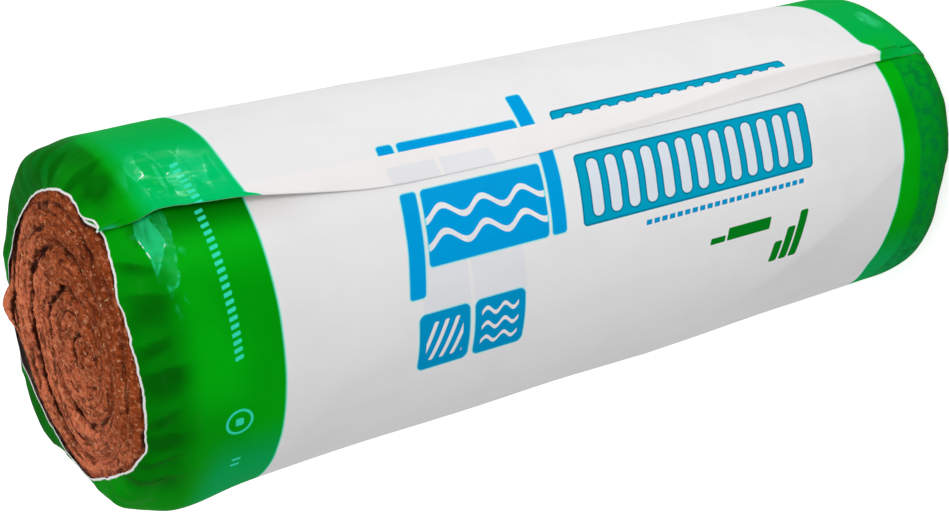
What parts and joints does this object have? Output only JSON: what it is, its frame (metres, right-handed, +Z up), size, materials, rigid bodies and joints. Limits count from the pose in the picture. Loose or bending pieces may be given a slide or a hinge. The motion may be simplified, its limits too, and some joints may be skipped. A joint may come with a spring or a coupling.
{
  "type": "insulation roll",
  "caption": "Roll of mineral wool insulation mat in a sleeve of printed film, standing on its end, with its wound turns showing at both ends.",
  "frame": {"origin": "on the floor, under the middle of the roll's lower end", "axes": "+Z up along the roll's axis; the free edge of the film's lap is towards -Y and +X"},
  "size_m": [0.4115, 0.41, 1.2013],
  "materials": {
    "wool": "brown glass mineral wool, matt and fibrous, cut ends",
    "film": "white polyethylene film with printed green end bands, soft gloss, creased"
  },
  "bodies": {
    "root": {"wool_roll": "wool", "wrapper_film": "film"}
  },
  "joints": []
}
